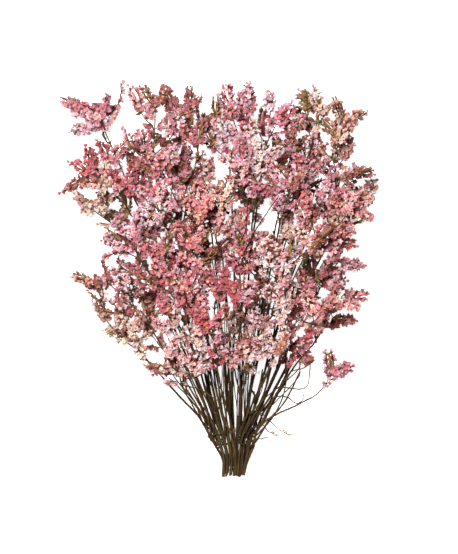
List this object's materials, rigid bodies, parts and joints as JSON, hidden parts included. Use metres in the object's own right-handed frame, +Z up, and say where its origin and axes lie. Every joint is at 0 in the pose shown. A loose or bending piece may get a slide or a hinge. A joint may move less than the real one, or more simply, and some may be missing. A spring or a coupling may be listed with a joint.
{
  "type": "dried statice bunch",
  "caption": "Loose bunch of dried pink statice lying on its side: bare branching stems run together at the cut ends and fan out into sprays of papery florets.",
  "frame": {"origin": "on the surface that the bunch lies on, under the middle of its bounding box", "axes": "+Z up from the surface, +Y along the bunch from the cut ends to the flower heads, +X across it to the right as seen from above"},
  "size_m": [0.4451, 0.5535, 0.149],
  "materials": {
    "florets_pink": "papery dried florets, mid pink",
    "florets_rose": "papery dried florets, deep rose",
    "florets_pale": "papery dried florets, pale pink and cream",
    "florets_coral": "papery dried florets, orange-pink",
    "florets_mauve": "papery dried florets, dull brown-pink",
    "florets_straw": "papery dried florets, straw and brown-green",
    "stems": "dry, ridged, olive-brown bark"
  },
  "bodies": {
    "root": {"spray_01a": "florets_pale", "spray_01b": "florets_straw", "spray_02a": "florets_mauve", "spray_03a": "florets_pink", "spray_03b": "florets_straw", "spray_04a": "florets_rose", "spray_05a": "florets_pink", "spray_06a": "florets_mauve", "spray_06b": "florets_rose", "spray_07a": "florets_pink", "spray_07b": "florets_coral", "spray_08a": "florets_pale", "spray_08b": "florets_rose", "spray_09a": "florets_mauve", "spray_09b": "florets_mauve", "spray_10a": "florets_rose", "spray_10b": "florets_rose", "spray_11a": "florets_pink", "spray_11b": "florets_coral", "spray_12a": "florets_pink", "spray_12b": "florets_rose", "spray_13a": "florets_pale", "spray_14a": "florets_pink", "spray_14b": "florets_pale", "spray_15a": "florets_mauve", "spray_15b": "florets_pink", "spray_16a": "florets_pale", "spray_16b": "florets_pale", "spray_17a": "florets_straw", "spray_17b": "florets_pink", "spray_18a": "florets_straw", "spray_18b": "florets_pink", "spray_19a": "florets_coral", "spray_19b": "florets_coral", "spray_20a": "florets_mauve", "spray_21a": "florets_coral", "spray_22a": "florets_rose", "spray_22b": "florets_pink", "stem_01": "stems", "stem_02": "stems", "stem_03": "stems", "stem_04": "stems", "stem_05": "stems", "stem_06": "stems", "stem_07": "stems", "stem_08": "stems", "stem_09": "stems", "stem_10": "stems", "stem_11": "stems", "stem_12": "stems", "stem_13": "stems", "stem_14": "stems", "stem_15": "stems", "stem_16": "stems", "stem_17": "stems", "stem_18": "stems", "stem_19": "stems", "stem_20": "stems", "stem_21": "stems", "stem_22": "stems"}
  },
  "joints": []
}
